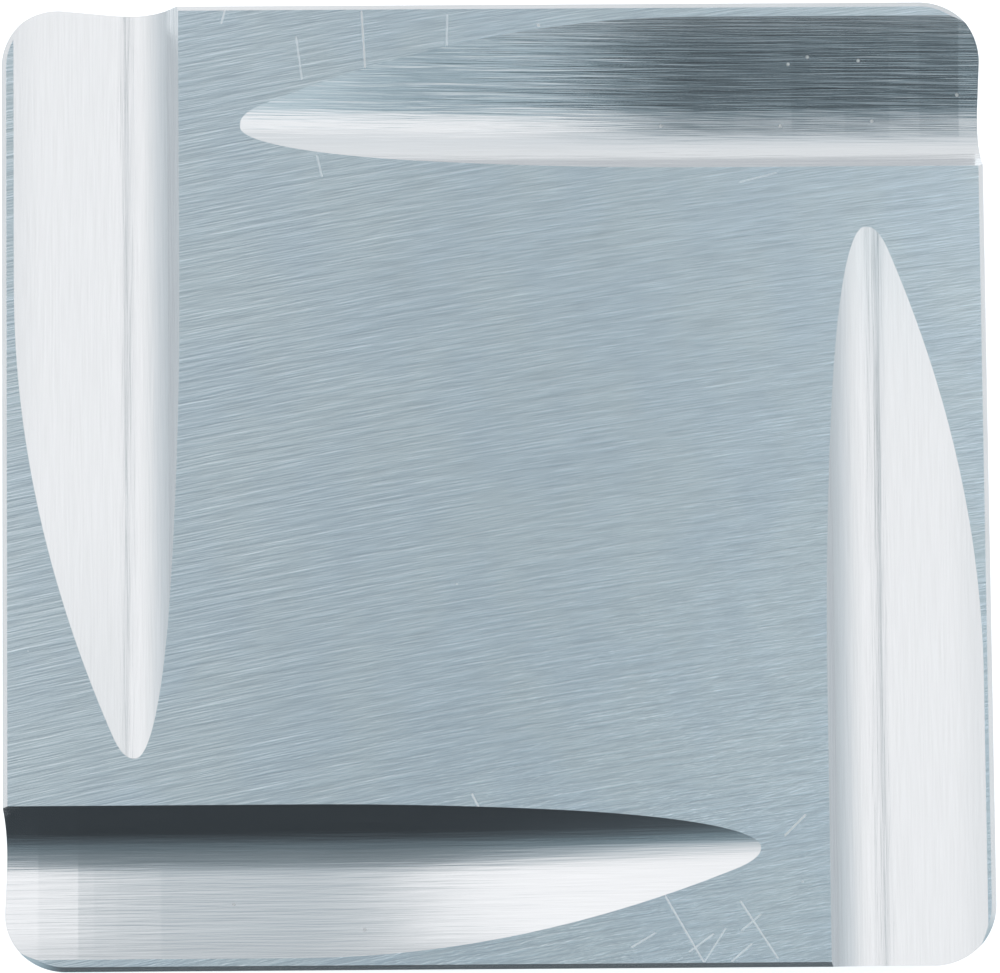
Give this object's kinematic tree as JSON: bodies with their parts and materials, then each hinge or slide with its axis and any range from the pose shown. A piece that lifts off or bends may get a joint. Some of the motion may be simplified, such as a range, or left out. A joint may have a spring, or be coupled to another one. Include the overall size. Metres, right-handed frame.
{
  "type": "turning insert",
  "caption": "Square cermet turning insert, ground all over, with relieved flanks, rounded noses and an open-ended chip groove along each cutting edge.",
  "frame": {"origin": "middle of the flat bottom face, which rests on the holder's shim", "axes": "+Z is the rake-face normal, out of the face with the chip grooves; +X and +Y are square to two cutting edges, and the groove along the +X edge opens at its -Y end"},
  "size_m": [0.0126, 0.0126, 0.0032],
  "materials": {
    "cermet": "satin"
  },
  "bodies": {
    "root": {"turning_insert": "cermet"}
  },
  "joints": []
}
